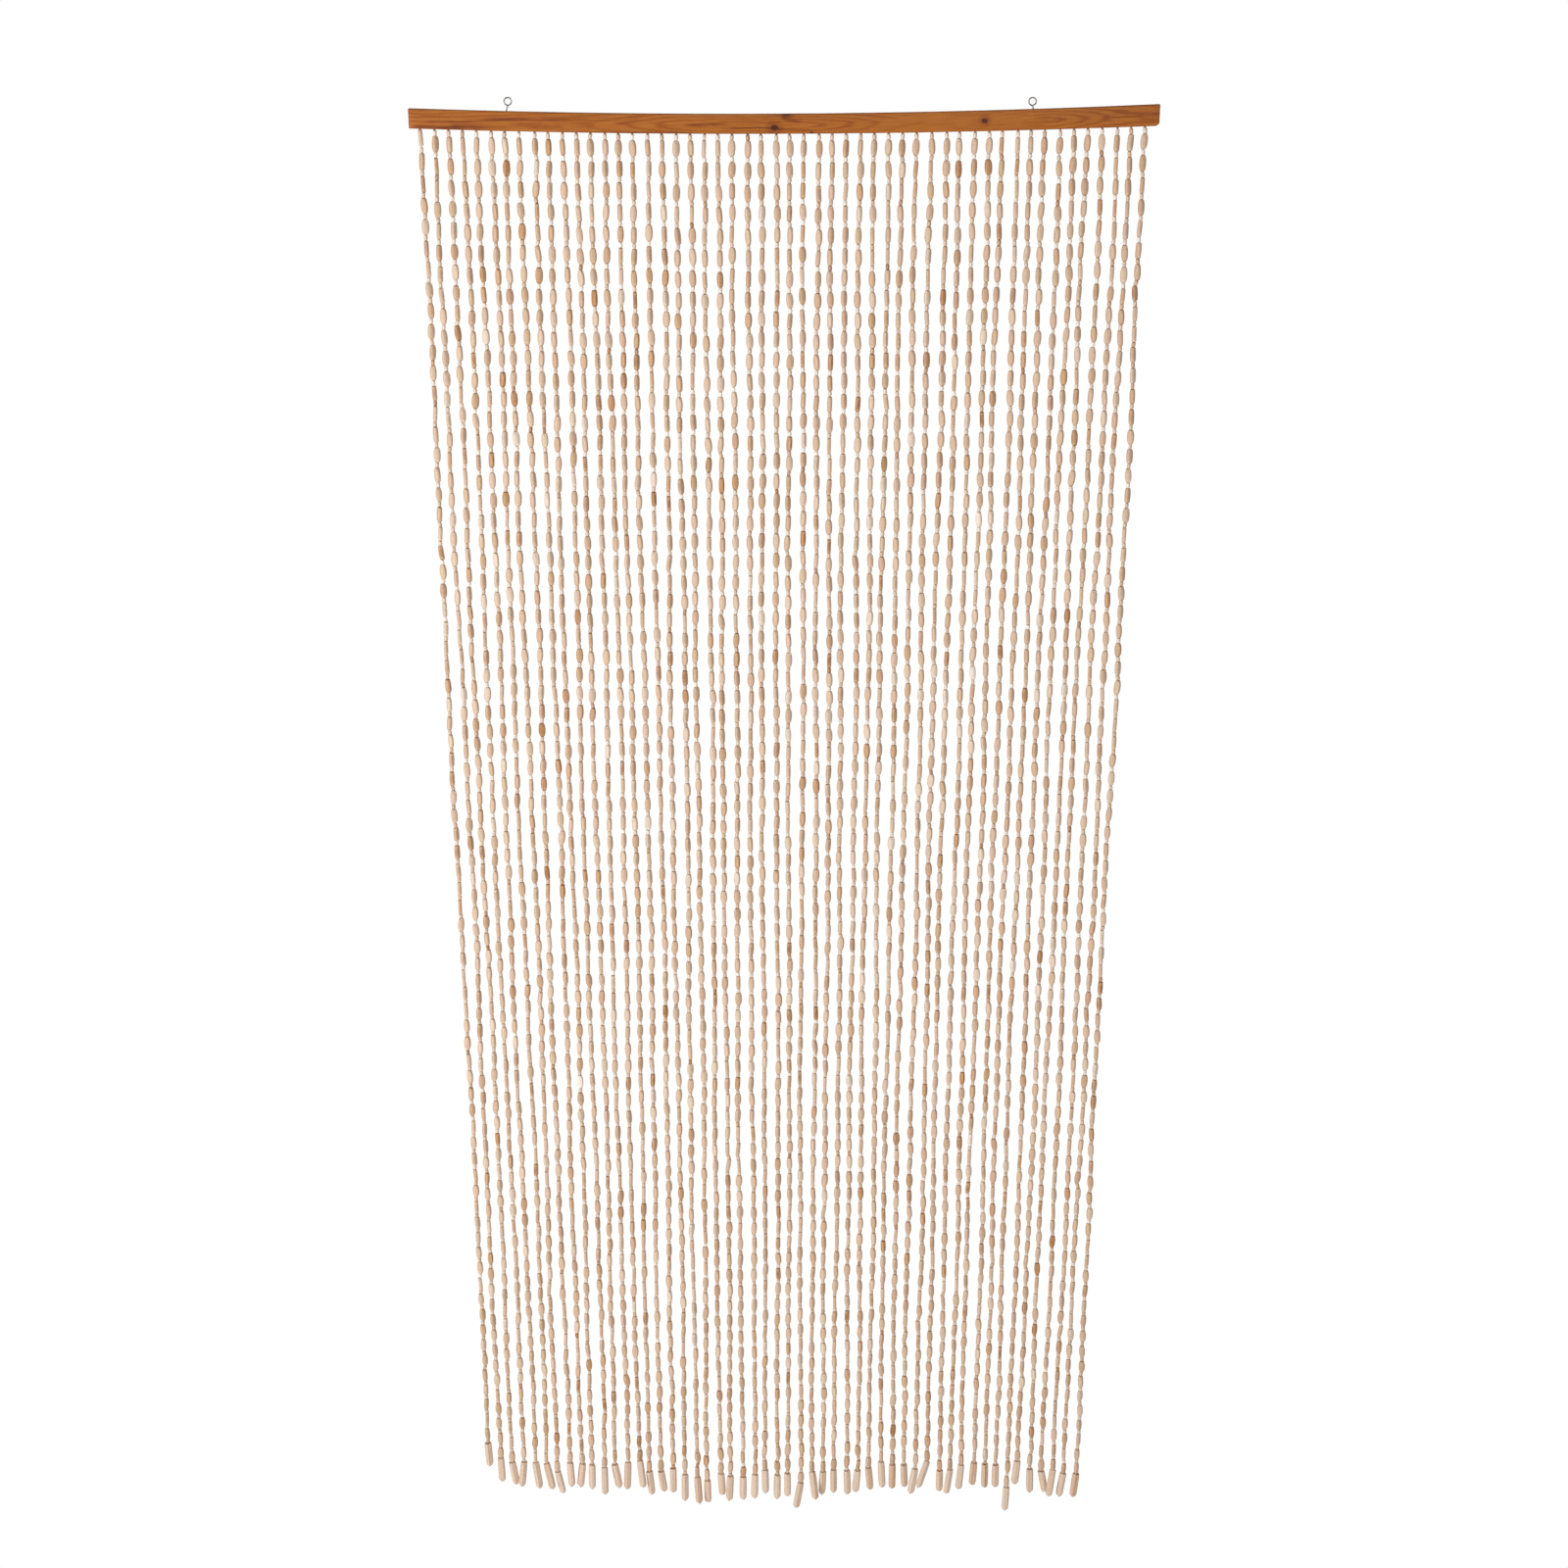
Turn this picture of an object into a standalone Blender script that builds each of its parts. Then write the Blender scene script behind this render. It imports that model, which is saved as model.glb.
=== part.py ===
"""Bead door curtain: strands of wooden beads under a varnished pine rail that hangs on two screw eyes.

Metres, +Z up, +X to the viewer's right, and the curtain's front faces -Y. The origin is halfway
between the two screw eyes, on the line where the hooks bear inside the top of their loops.
"""

import math
import random
from collections import namedtuple

import bmesh
import bpy
from mathutils import Euler, Matrix, Vector

MM = 0.001

# Rail, bowed like a shallow smile and sawn a little deeper towards its right end
RAIL_LENGTH = 900 * MM
RAIL_THICKNESS = 12 * MM
RAIL_DEPTH = 22.9 * MM
RAIL_EXTRA_DEPTH = 1.8 * MM
RAIL_TOP_MIDDLE = -17.8 * MM
RAIL_BOW = 8.6 * MM
RAIL_TILT = 2.45 * MM
RAIL_EDGE_ROUNDING = 0.9 * MM
RAIL_STEPS = 24
SQUARE_EDGE_DEG = 45
KNOCKED_CORNER_LENGTH = 3.8 * MM
KNOCKED_CORNER_HEIGHT = 2.6 * MM

# Backing strip that ties the strands together, and the groove in the rail's underside that holds it
CLEARANCE = 0.35 * MM
STRIP_WIDTH = 2.2 * MM
STRIP_HEIGHT = 1.6 * MM
STRIP_RECESS = 0.5 * MM
STRIP_END_MARGIN = 4 * MM

# Screw eyes of round wire
WIRE_RADIUS = 0.85 * MM
LOOP_RADIUS = 4.4 * MM
LOOP_START_DEG = 24
LOOP_END_DEG = 340
LOOP_STEPS = 14
NECK_DROP = 1.9 * MM
SHANK_BURIED = 9.5 * MM
SHANK_HOLE_RADIUS = WIRE_RADIUS + CLEARANCE
SHANK_HOLE_SIDES = 16
WIRE_CURVE_STEPS = 2

Eye = namedtuple("Eye", "name loop_x shank_x")
EYES = (
    Eye("screw_eye_left", -330.8 * MM, -333.0 * MM),
    Eye("screw_eye_right", 297.6 * MM, 299.1 * MM),
)

# Strands of beads
STRANDS = 52
STRAND_PITCH = 17.1 * MM
STRAND_SHIFT = -1.8 * MM
PITCH_UNEVENNESS = 1.2 * MM
THREAD_HALF_WIDTH = STRIP_WIDTH / 2
BEAD_HALF_WIDTH = 3.15 * MM
BEAD_UNEVENNESS = 0.25 * MM
TOP_THREAD_LENGTH = 0.8 * MM
TOP_BEAD_SHOULDER = 2.6 * MM
LAST_BEAD_HEIGHT = 5 * MM
SLOW_SWAY = 1.3 * MM
SLOW_SWAY_WAVE = 1300 * MM
QUICK_SWAY = 0.6 * MM
QUICK_SWAY_WAVE = 370 * MM
SWAY_FADE_IN = 150 * MM
BODY_RINGS = 10

# Long drop at each strand's foot: along counts from its top, size is the share of its full girth
DropRing = namedtuple("DropRing", "along size")
DROP_LENGTH = 40 * MM
DROP_HALF_WIDTH = 4.9 * MM
DROP_HALF_DEPTH = 4.0 * MM
DROP_RINGS = (
    DropRing(0.0, 0.9),
    DropRing(0.4, 1.0),
    DropRing(0.86, 1.0),
    DropRing(1.0, 0.42),
)
NECK_HEIGHT = 1.25 * MM
NECK_HALF_WIDTH = 1.9 * MM

# Height of the hem, as the lowest point of the drops at a few strands counted from the left
HemKnot = namedtuple("HemKnot", "strand tip_z")
HEM = (
    HemKnot(1, -1947 * MM),
    HemKnot(2, -1973 * MM),
    HemKnot(7, -1983 * MM),
    HemKnot(14, -1981 * MM),
    HemKnot(19, -2001 * MM),
    HemKnot(24, -2004 * MM),
    HemKnot(30, -1996 * MM),
    HemKnot(36, -1985 * MM),
    HemKnot(44, -1981 * MM),
    HemKnot(52, -1996 * MM),
)
HEM_UNEVENNESS = 2.5 * MM

# Drops that hang askew: lean is to the viewer's right, swing towards the viewer, lower below the hem
AskewDrop = namedtuple("AskewDrop", "strand lean_deg swing_deg lower")
ASKEW_DROPS = (
    AskewDrop(3, 7, -3, 3 * MM),
    AskewDrop(4, -6, 6, 1 * MM),
    AskewDrop(5, 9, 12, -2 * MM),
    AskewDrop(6, 13, 12, 0 * MM),
    AskewDrop(7, 10, -4, 11 * MM),
    AskewDrop(9, -6, 2, 0 * MM),
    AskewDrop(11, 1, 14, 5 * MM),
    AskewDrop(12, 9, 0, 0 * MM),
    AskewDrop(13, -2, 16, -6 * MM),
    AskewDrop(14, 8, 18, -6 * MM),
    AskewDrop(15, 5, 0, 7 * MM),
    AskewDrop(16, 6, -8, 5 * MM),
    AskewDrop(18, 0, 12, 2 * MM),
    AskewDrop(19, 4, 12, 3 * MM),
    AskewDrop(20, 1, -4, 11 * MM),
    AskewDrop(21, 3, -5, -3 * MM),
    AskewDrop(22, -3, 4, 0 * MM),
    AskewDrop(25, 1, 0, -13 * MM),
    AskewDrop(28, -10, 10, 16 * MM),
    AskewDrop(29, 8, 21, -1 * MM),
    AskewDrop(33, -4, -5, 3 * MM),
    AskewDrop(34, 5, -4, 1 * MM),
    AskewDrop(35, 3, 10, -9 * MM),
    AskewDrop(38, -9, 7, 3 * MM),
    AskewDrop(39, -22, 22, -14 * MM),
    AskewDrop(40, 1, -8, 11 * MM),
    AskewDrop(41, -7, 4, 10 * MM),
    AskewDrop(42, -5, 5, 0 * MM),
    AskewDrop(46, -2, 0, 36 * MM),
    AskewDrop(47, -4, 0, -9 * MM),
    AskewDrop(49, 11, -5, 4 * MM),
    AskewDrop(50, -9, 14, -3 * MM),
    AskewDrop(51, -7, 0, 3 * MM),
    AskewDrop(52, -5, 0, 1 * MM),
)

PLUMB_DROP_LEAN_DEG = 2.5
PLUMB_DROP_SWING_DEG = 3

# A seed for each thing that varies by chance from strand to strand
PITCH_SEED = 53227
SIDE_SWAY_SEED = 2
DEPTH_SWAY_SEED = 4
LEAN_SEED = 6
SWING_SEED = 7
HEM_SEED = 8
THICKNESS_SEED = 20

Section = namedtuple("Section", "centre half_x half_y tilt")


def clear_scene():
    for item in list(bpy.data.objects):
        bpy.data.objects.remove(item, do_unlink=True)


def make_material(name, colour, roughness, metallic=0.0):
    finish = bpy.data.materials.new(name)
    finish.use_nodes = True
    shader = finish.node_tree.nodes["Principled BSDF"]
    shader.inputs["Base Color"].default_value = (*colour, 1.0)
    shader.inputs["Roughness"].default_value = roughness
    shader.inputs["Metallic"].default_value = metallic
    return finish


def add_object(name, data, finish=None):
    item = bpy.data.objects.new(name, data)
    bpy.context.scene.collection.objects.link(item)
    if finish:
        data.materials.append(finish)
    return item


def add_mesh(name, bm, finish=None):
    bmesh.ops.recalc_face_normals(bm, faces=bm.faces)
    mesh = bpy.data.meshes.new(name)
    bm.to_mesh(mesh)
    bm.free()
    return add_object(name, mesh, finish)


def rail_top(x):
    along = x / (RAIL_LENGTH / 2)
    return RAIL_TOP_MIDDLE + RAIL_BOW * along**2 + RAIL_TILT * along


def rail_depth(x):
    along = x / (RAIL_LENGTH / 2)
    return RAIL_DEPTH + RAIL_EXTRA_DEPTH * (along + along**2) / 2


def rail_bottom(x):
    return rail_top(x) - rail_depth(x)


def follow_bow(verts):
    """Move points from a straight rail, whose top lies at height 0, to the bowed one."""
    for vert in verts:
        vert.co.z = rail_top(vert.co.x) + vert.co.z * rail_depth(vert.co.x) / RAIL_DEPTH


def add_bar(bm, stations, half_y, low, high):
    """A bar along X from the first station to the last, with an edge loop at each one between."""
    length = stations[-1] - stations[0]
    middle = Vector(((stations[0] + stations[-1]) / 2, 0, (low + high) / 2))
    shape = Matrix.Translation(middle) @ Matrix.Diagonal((length, 2 * half_y, high - low, 1))
    bmesh.ops.create_cube(bm, size=1, matrix=shape)
    for x in stations[1:-1]:
        geom = bm.verts[:] + bm.edges[:] + bm.faces[:]
        bmesh.ops.bisect_plane(bm, geom=geom, dist=1e-6, plane_co=(x, 0, 0), plane_no=(1, 0, 0))
    bmesh.ops.recalc_face_normals(bm, faces=bm.faces)


def even_stations(start, stop, steps):
    return [start + (stop - start) * step / steps for step in range(steps + 1)]


def add_cutter(name, bm):
    cutter = add_mesh(name, bm)
    cutter.hide_render = True
    cutter.display_type = "WIRE"
    return cutter


def cut(item, cutter):
    modifier = item.modifiers.new(cutter.name, "BOOLEAN")
    modifier.operation = "DIFFERENCE"
    modifier.solver = "EXACT"
    modifier.object = cutter


def knock_corner(bm):
    """Slice off the lower right corner, which has been knocked."""
    corner = Vector((RAIL_LENGTH / 2, 0, -RAIL_DEPTH + KNOCKED_CORNER_HEIGHT))
    outward = Vector((KNOCKED_CORNER_HEIGHT, 0, -KNOCKED_CORNER_LENGTH)).normalized()
    geom = bm.verts[:] + bm.edges[:] + bm.faces[:]
    sliced = bmesh.ops.bisect_plane(bm, geom=geom, plane_co=corner, plane_no=outward, clear_outer=True)
    rim = [item for item in sliced["geom_cut"] if isinstance(item, bmesh.types.BMEdge)]
    bmesh.ops.holes_fill(bm, edges=rim)


def groove_cutter(first_x, last_x):
    """A bar that cuts the groove, open below the rail and blind at both ends."""
    bm = bmesh.new()
    ends = (first_x - STRIP_END_MARGIN - CLEARANCE, last_x + STRIP_END_MARGIN + CLEARANCE)
    roof = -RAIL_DEPTH + STRIP_RECESS + STRIP_HEIGHT + CLEARANCE
    floor = -RAIL_DEPTH - STRIP_HEIGHT
    add_bar(bm, even_stations(*ends, RAIL_STEPS), STRIP_WIDTH / 2 + CLEARANCE, floor, roof)
    follow_bow(bm.verts)
    return add_cutter("groove_cutter", bm)


def shank_hole_cutter(eye):
    bm = bmesh.new()
    height = 2 * (SHANK_BURIED + CLEARANCE)
    bmesh.ops.create_cone(
        bm,
        cap_ends=True,
        segments=SHANK_HOLE_SIDES,
        radius1=SHANK_HOLE_RADIUS,
        radius2=SHANK_HOLE_RADIUS,
        depth=height,
    )
    bmesh.ops.translate(bm, verts=bm.verts, vec=(eye.shank_x, 0, rail_top(eye.shank_x)))
    return add_cutter(eye.name + "_hole_cutter", bm)


def make_rail(finish, first_x, last_x):
    bm = bmesh.new()
    half = RAIL_LENGTH / 2
    add_bar(bm, even_stations(-half, half, RAIL_STEPS), RAIL_THICKNESS / 2, -RAIL_DEPTH, 0)
    edges = [edge for edge in bm.edges if edge.calc_face_angle() > math.radians(SQUARE_EDGE_DEG)]
    bmesh.ops.bevel(
        bm, geom=edges, offset=RAIL_EDGE_ROUNDING, segments=2, profile=0.5, affect="EDGES", material=-1
    )
    knock_corner(bm)
    follow_bow(bm.verts)
    rail = add_mesh("headrail", bm, finish)
    cut(rail, groove_cutter(first_x, last_x))
    for eye in EYES:
        cut(rail, shank_hole_cutter(eye))


def smooth_route(points, steps):
    """Read a Catmull-Rom curve through the points."""
    padded = [2 * points[0] - points[1], *points, 2 * points[-1] - points[-2]]
    route = []
    for before, start, stop, after in zip(padded, padded[1:], padded[2:], padded[3:]):
        for step in range(steps):
            t = step / steps
            linear = (stop - before) * t
            square = (2 * before - 5 * start + 4 * stop - after) * t**2
            cube = (3 * start - before - 3 * stop + after) * t**3
            route.append(start + (linear + square + cube) / 2)
    route.append(points[-1])
    return route


def eye_route(eye):
    """The wire's middle line, from the buried end up the neck and round the loop."""
    wood = rail_top(eye.shank_x)
    centre_z = WIRE_RADIUS - LOOP_RADIUS
    neck_z = centre_z - LOOP_RADIUS - NECK_DROP
    points = [
        Vector((eye.shank_x, 0, wood - SHANK_BURIED)),
        Vector((eye.shank_x, 0, wood - SHANK_BURIED / 2)),
        Vector((eye.shank_x, 0, wood)),
        Vector((eye.loop_x, 0, neck_z)),
    ]
    for step in range(LOOP_STEPS + 1):
        turn = math.radians(LOOP_START_DEG + (LOOP_END_DEG - LOOP_START_DEG) * step / LOOP_STEPS)
        points.append(
            Vector((eye.loop_x + LOOP_RADIUS * math.sin(turn), 0, centre_z - LOOP_RADIUS * math.cos(turn)))
        )
    return smooth_route(points, WIRE_CURVE_STEPS)


def make_eye(eye, finish):
    wire = bpy.data.curves.new(eye.name, "CURVE")
    wire.dimensions = "3D"
    wire.bevel_depth = WIRE_RADIUS
    wire.bevel_resolution = 2
    wire.use_fill_caps = True
    route = eye_route(eye)
    spline = wire.splines.new("POLY")
    spline.points.add(len(route) - 1)
    for point, place in zip(spline.points, route):
        point.co = (*place, 1)
    spline.use_smooth = True
    add_object(eye.name, wire, finish)


def chance(strand, seed):
    """A repeatable number from -1 to 1 for one strand and one seed."""
    return random.Random(1000 * seed + strand).uniform(-1, 1)


def strand_x(strand):
    middle = (STRANDS + 1) / 2
    return STRAND_SHIFT + (strand - middle) * STRAND_PITCH + PITCH_UNEVENNESS * chance(strand, PITCH_SEED)


def sway(strand, below, seed):
    """Drift of a strand to one side, at a distance below the rail."""
    slow = math.sin(math.tau * (below / SLOW_SWAY_WAVE + chance(strand, seed)))
    quick = math.sin(math.tau * (below / QUICK_SWAY_WAVE + chance(strand, seed + 1)))
    return min(1.0, below / SWAY_FADE_IN) * (SLOW_SWAY * slow + QUICK_SWAY * quick)


def strand_centre(strand, z):
    x = strand_x(strand)
    below = rail_bottom(x) - z
    return Vector((x + sway(strand, below, SIDE_SWAY_SEED), sway(strand, below, DEPTH_SWAY_SEED), z))


def askew_drop(strand):
    """The strand's own row in the table of askew drops, or a nearly plumb one."""
    for row in ASKEW_DROPS:
        if row.strand == strand:
            return row
    lean = PLUMB_DROP_LEAN_DEG * chance(strand, LEAN_SEED)
    swing = PLUMB_DROP_SWING_DEG * chance(strand, SWING_SEED)
    return AskewDrop(strand, lean, swing, 0.0)


def tip_height(strand):
    """Height of a drop's lowest point: the hem between its knots, and the strand's own difference."""
    left, right = next(
        (left, right) for left, right in zip(HEM, HEM[1:]) if left.strand <= strand <= right.strand
    )
    share = (strand - left.strand) / (right.strand - left.strand)
    hem_z = left.tip_z + share * (right.tip_z - left.tip_z)
    return hem_z - askew_drop(strand).lower + HEM_UNEVENNESS * chance(strand, HEM_SEED)


def drop_frame(strand):
    """Tilt of a drop and the point at the middle of its top."""
    row = askew_drop(strand)
    tilt = Euler((math.radians(-row.swing_deg), math.radians(-row.lean_deg), 0)).to_matrix()
    downward = tilt @ Vector((0, 0, -1))
    top_z = tip_height(strand) - downward.z * DROP_LENGTH
    return tilt, strand_centre(strand, top_z)


def strand_sections(strand):
    """Cross-sections of a strand from just under the rail to the tip of its drop."""
    upright = Euler((0, 0, 0)).to_matrix()
    under_rail = rail_bottom(strand_x(strand))
    tilt, drop_top = drop_frame(strand)
    first_z = under_rail - TOP_BEAD_SHOULDER
    last_z = drop_top.z + LAST_BEAD_HEIGHT
    thread = strand_centre(strand, under_rail - TOP_THREAD_LENGTH)
    sections = [Section(thread, THREAD_HALF_WIDTH, THREAD_HALF_WIDTH, upright)]
    for ring, z in enumerate(even_stations(first_z, last_z, BODY_RINGS)):
        half = BEAD_HALF_WIDTH + BEAD_UNEVENNESS * chance(strand, THICKNESS_SEED + ring)
        sections.append(Section(strand_centre(strand, z), half, half, upright))
    neck = strand_centre(strand, drop_top.z + NECK_HEIGHT)
    sections.append(Section(neck, NECK_HALF_WIDTH, NECK_HALF_WIDTH, upright))
    for ring in DROP_RINGS:
        centre = drop_top + tilt @ Vector((0, 0, -ring.along * DROP_LENGTH))
        sections.append(Section(centre, ring.size * DROP_HALF_WIDTH, ring.size * DROP_HALF_DEPTH, tilt))
    return sections


def draw_down(bm, face, section):
    """Extrude a four-sided face and lay its corners out as the section says."""
    grown = bmesh.ops.extrude_discrete_faces(bm, faces=[face])["faces"][0]
    middle = grown.calc_center_median()
    for vert in grown.verts:
        corner = Vector((
            math.copysign(section.half_x, vert.co.x - middle.x),
            math.copysign(section.half_y, vert.co.y - middle.y),
            0,
        ))
        vert.co = section.centre + section.tilt @ corner
    return grown


def make_strands(finish):
    """All strands, fused at their roots into one narrow strip in the rail's groove."""
    bm = bmesh.new()
    low = -RAIL_DEPTH + STRIP_RECESS
    roots = [strand_x(strand) for strand in range(1, STRANDS + 1)]
    stations = [roots[0] - STRIP_END_MARGIN]
    for x in roots:
        stations += [x - THREAD_HALF_WIDTH, x + THREAD_HALF_WIDTH]
    stations.append(roots[-1] + STRIP_END_MARGIN)
    add_bar(bm, stations, STRIP_WIDTH / 2, low, low + STRIP_HEIGHT)
    undersides = [face for face in bm.faces if face.normal.z < -0.9]
    undersides.sort(key=lambda face: face.calc_center_median().x)
    follow_bow(bm.verts)
    for strand, underside in enumerate(undersides[1::2], start=1):
        end = underside
        for section in strand_sections(strand):
            end = draw_down(bm, end, section)
    add_mesh("bead_strands", bm, finish)


def build():
    clear_scene()
    varnished_pine = make_material("varnished pine", (0.46, 0.16, 0.045), 0.38)
    bead_wood = make_material("bare bead wood", (0.58, 0.40, 0.24), 0.6)
    zinc_wire = make_material("zinc-plated wire", (0.55, 0.56, 0.56), 0.35, 1.0)
    make_rail(varnished_pine, strand_x(1), strand_x(STRANDS))
    for eye in EYES:
        make_eye(eye, zinc_wire)
    make_strands(bead_wood)


build()
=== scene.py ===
"""Looks of the bead curtain: wooden beads, drops, threads and knots, the varnished rail and the wire eyes.

Metres, +Z up, +X to the viewer's right. The curtain's front faces -Y, and the hooks would bear at height 0.
"""

import math
import random
from collections import namedtuple

import bmesh
import bpy
from mathutils import Euler, Matrix, Vector, noise


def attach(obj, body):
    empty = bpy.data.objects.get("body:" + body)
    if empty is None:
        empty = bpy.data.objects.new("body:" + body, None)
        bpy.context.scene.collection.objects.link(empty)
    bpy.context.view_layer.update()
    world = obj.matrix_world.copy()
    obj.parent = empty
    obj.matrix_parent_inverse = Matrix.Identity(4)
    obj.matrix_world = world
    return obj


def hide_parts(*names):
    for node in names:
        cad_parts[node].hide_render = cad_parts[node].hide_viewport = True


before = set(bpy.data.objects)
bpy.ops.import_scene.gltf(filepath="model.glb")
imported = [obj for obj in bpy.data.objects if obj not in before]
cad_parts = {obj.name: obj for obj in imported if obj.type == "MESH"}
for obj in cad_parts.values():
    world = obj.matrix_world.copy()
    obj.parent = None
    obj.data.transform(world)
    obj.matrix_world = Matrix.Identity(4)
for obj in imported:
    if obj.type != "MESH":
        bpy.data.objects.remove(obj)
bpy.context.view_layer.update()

MM = 0.001

# The curtain's measures, as its solids have them
RAIL_LENGTH = 900 * MM
RAIL_THICKNESS = 12 * MM
RAIL_DEPTH = 22.9 * MM
RAIL_EXTRA_DEPTH = 1.8 * MM
RAIL_TOP_MIDDLE = -17.8 * MM
RAIL_BOW = 8.6 * MM
RAIL_TILT = 2.45 * MM
KNOCKED_CORNER_LENGTH = 3.8 * MM
KNOCKED_CORNER_HEIGHT = 2.6 * MM
GROOVE_WIDTH = 2.9 * MM
GROOVE_DEPTH = 2.45 * MM
GROOVE_END_MARGIN = 4.35 * MM

WIRE_RADIUS = 0.85 * MM
LOOP_RADIUS = 4.4 * MM
LOOP_START_DEG = 42
LOOP_END_DEG = 322
LOOP_STEPS = 12
LOOP_POINT = 0.9 * MM
LOOP_END_ASIDE = 0.7 * MM
LOOP_END_BACK = 1.2 * MM
SHANK_BURIED = 9.5 * MM

Eye = namedtuple("Eye", "name loop_x shank_x")
EYES = (
    Eye("screw_eye_left", -330.8 * MM, -333.0 * MM),
    Eye("screw_eye_right", 297.6 * MM, 299.1 * MM),
)

STRANDS = 52
STRAND_PITCH = 17.1 * MM
STRAND_SHIFT = -1.8 * MM
PITCH_UNEVENNESS = 1.2 * MM
SLOW_SWAY = 1.3 * MM
SLOW_SWAY_WAVE = 1300 * MM
QUICK_SWAY = 0.6 * MM
QUICK_SWAY_WAVE = 370 * MM
SWAY_FADE_IN = 150 * MM
DROP_LENGTH = 40 * MM

HemKnot = namedtuple("HemKnot", "strand tip_z")
HEM = (
    HemKnot(1, -1947 * MM),
    HemKnot(2, -1973 * MM),
    HemKnot(7, -1983 * MM),
    HemKnot(14, -1981 * MM),
    HemKnot(19, -2001 * MM),
    HemKnot(24, -2004 * MM),
    HemKnot(30, -1996 * MM),
    HemKnot(36, -1985 * MM),
    HemKnot(44, -1981 * MM),
    HemKnot(52, -1996 * MM),
)
HEM_UNEVENNESS = 2.5 * MM

# Drops that hang askew: lean is to the viewer's right, swing towards the viewer, lower below the hem
AskewDrop = namedtuple("AskewDrop", "strand lean_deg swing_deg lower")
ASKEW_DROPS = (
    AskewDrop(3, 7, -3, 3 * MM),
    AskewDrop(4, -6, 6, 1 * MM),
    AskewDrop(5, 9, 12, -2 * MM),
    AskewDrop(6, 13, 12, 0 * MM),
    AskewDrop(7, 10, -4, 11 * MM),
    AskewDrop(9, -6, 2, 0 * MM),
    AskewDrop(11, 1, 14, 5 * MM),
    AskewDrop(12, 9, 0, 0 * MM),
    AskewDrop(13, -2, 16, -6 * MM),
    AskewDrop(14, 8, 18, -6 * MM),
    AskewDrop(15, 5, 0, 7 * MM),
    AskewDrop(16, 6, -8, 5 * MM),
    AskewDrop(18, 0, 12, 2 * MM),
    AskewDrop(19, 4, 12, 3 * MM),
    AskewDrop(20, 1, -4, 11 * MM),
    AskewDrop(21, 3, -5, -3 * MM),
    AskewDrop(22, -3, 4, 0 * MM),
    AskewDrop(25, 1, 0, -13 * MM),
    AskewDrop(28, -10, 10, 16 * MM),
    AskewDrop(29, 8, 21, -1 * MM),
    AskewDrop(33, -4, -5, 3 * MM),
    AskewDrop(34, 5, -4, 1 * MM),
    AskewDrop(35, 3, 10, -9 * MM),
    AskewDrop(38, -9, 7, 3 * MM),
    AskewDrop(39, -22, 22, -14 * MM),
    AskewDrop(40, 1, -8, 11 * MM),
    AskewDrop(41, -7, 4, 10 * MM),
    AskewDrop(42, -5, 5, 0 * MM),
    AskewDrop(46, -2, 0, 36 * MM),
    AskewDrop(47, -4, 0, -9 * MM),
    AskewDrop(49, 11, -5, 4 * MM),
    AskewDrop(50, -9, 14, -3 * MM),
    AskewDrop(51, -7, 0, 3 * MM),
    AskewDrop(52, -5, 0, 1 * MM),
)
PLUMB_DROP_LEAN_DEG = 2.5
PLUMB_DROP_SWING_DEG = 3

PITCH_SEED = 53227
SIDE_SWAY_SEED = 2
DEPTH_SWAY_SEED = 4
LEAN_SEED = 6
SWING_SEED = 7
HEM_SEED = 8
NOISE_SEED = 9

# Finer rail
RAIL_STEPS = 60
RAIL_EDGE_ROUNDING = 0.5 * MM
RAIL_EDGE_SEGMENTS = 3
RAIL_UNEVENNESS = 0.12 * MM
RAIL_SMOOTH_DEG = 60
SQUARE_EDGE_DEG = 45

# Finer wire eyes
WIRE_SIDES = 14
WIRE_CURVE_STEPS = 5
WIRE_SMOOTH_DEG = 60

# Beads: along counts from a bead's foot, -1, to its top, 1; wide and thick are shares of its full measures
BeadRing = namedtuple("BeadRing", "along wide thick")
LONG_BEAD_LENGTH = 18.5 * MM
LONG_BEAD_WIDTH = 8.5 * MM
LONG_BEAD_THICKNESS = 5.0 * MM
LONG_BEAD_CHAMFER = 1.3 * MM
LONG_BEAD_RINGS = (
    BeadRing(-1.0, 0.57, 0.88),
    BeadRing(-0.88, 0.73, 1.0),
    BeadRing(-0.5, 0.94, 1.0),
    BeadRing(0.0, 1.0, 1.0),
    BeadRing(0.5, 0.94, 1.0),
    BeadRing(0.88, 0.73, 1.0),
    BeadRing(1.0, 0.57, 0.88),
)
ROUND_BEAD_LENGTH = 7.0 * MM
ROUND_BEAD_WIDTH = 4.9 * MM
ROUND_BEAD_SIDES = 8
ROUND_BEAD_RIM = 1.2 * MM
ROUND_BEAD_HOLE_DEPTH = 0.7 * MM
ROUND_BEAD_RINGS = (
    BeadRing(-1.0, 0.72, 0.72),
    BeadRing(-0.5, 1.02, 1.02),
    BeadRing(0.5, 1.02, 1.02),
    BeadRing(1.0, 0.72, 0.72),
)
BEAD_GAP_SHARE = 0.985
FACETED_DEG = 38
TURNED_DEG = 50
LENGTH_SPREAD = 0.05
WIDTH_SPREAD = 0.09
ROUND_SPREAD = 0.07
ROUND_SWELL = 0.1
THREADING_SLACK = 0.8 * MM
KINK_CHANCE = 0.035
KINK_SLACK = 2.1 * MM
BEAD_SEED = 100

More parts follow.
